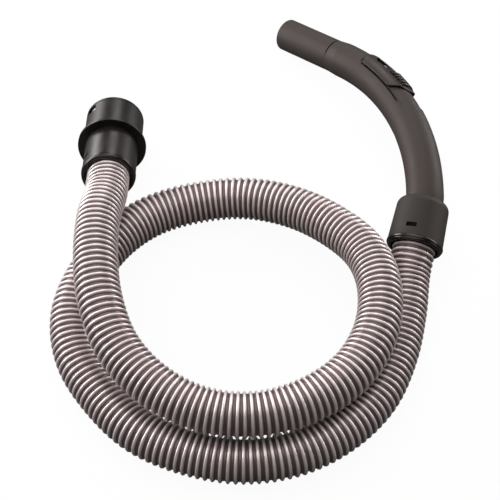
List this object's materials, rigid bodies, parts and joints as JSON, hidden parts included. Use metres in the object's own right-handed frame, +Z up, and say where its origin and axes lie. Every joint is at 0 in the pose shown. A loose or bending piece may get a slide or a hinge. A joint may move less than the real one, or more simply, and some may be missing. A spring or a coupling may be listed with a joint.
{
  "type": "vacuum cleaner hose",
  "caption": "Coiled ribbed suction hose with a swivelling machine connector at one end and a swivelling bent handle with an airflow slider at the other.",
  "frame": {"origin": "on the floor under the middle of the rigid pieces: the machine connector and the handle with their rings, seals and cuffs", "axes": "+Z up from the floor; +Y from the near side, where the loops lie, to the far side, where the handle's tip and the connector's rim point; +X towards the handle's collar"},
  "size_m": [0.3631, 0.5306, 0.0893],
  "materials": {
    "hose_plastic": "glossy silver-grey",
    "cuff_plastic": "glossy black",
    "seal_rubber": "soft matte black",
    "connector_plastic": "satin near-black",
    "ring_plastic": "glossy black",
    "collar_plastic": "fine matte warm grey",
    "handle_plastic": "satin warm dark grey",
    "slider_plastic": "satin warm dark grey"
  },
  "bodies": {
    "hose_assembly": {"hose": "hose_plastic", "inlet_hose_cuff": "cuff_plastic", "inlet_seal_ring": "seal_rubber", "grip_hose_cuff": "cuff_plastic", "grip_seal_ring": "seal_rubber"},
    "machine_connector": {"inlet_connector": "connector_plastic", "inlet_retaining_ring": "ring_plastic"},
    "handle": {"grip_collar": "collar_plastic", "grip_retaining_ring": "ring_plastic", "handle_tube": "handle_plastic"},
    "slider": {"airflow_slider": "slider_plastic"}
  },
  "joints": [
    {"name": "inlet_swivel", "type": "hinge", "parent": "hose_assembly", "child": "machine_connector", "pos_m": [-0.143, -0.074, 0.0474], "axis": [0, 0.9744, -0.225], "continuous": true},
    {"name": "grip_swivel", "type": "hinge", "parent": "hose_assembly", "child": "handle", "pos_m": [0.141, -0.145, 0.0304], "axis": [0.2407, 0.9306, 0.2756], "continuous": true},
    {"name": "airflow_slide", "type": "hinge", "parent": "handle", "child": "slider", "pos_m": [-0.03708, -0.06816, -0.05192], "axis": [0.4643, 0.139, -0.8747], "range_deg": [0, 5]}
  ]
}
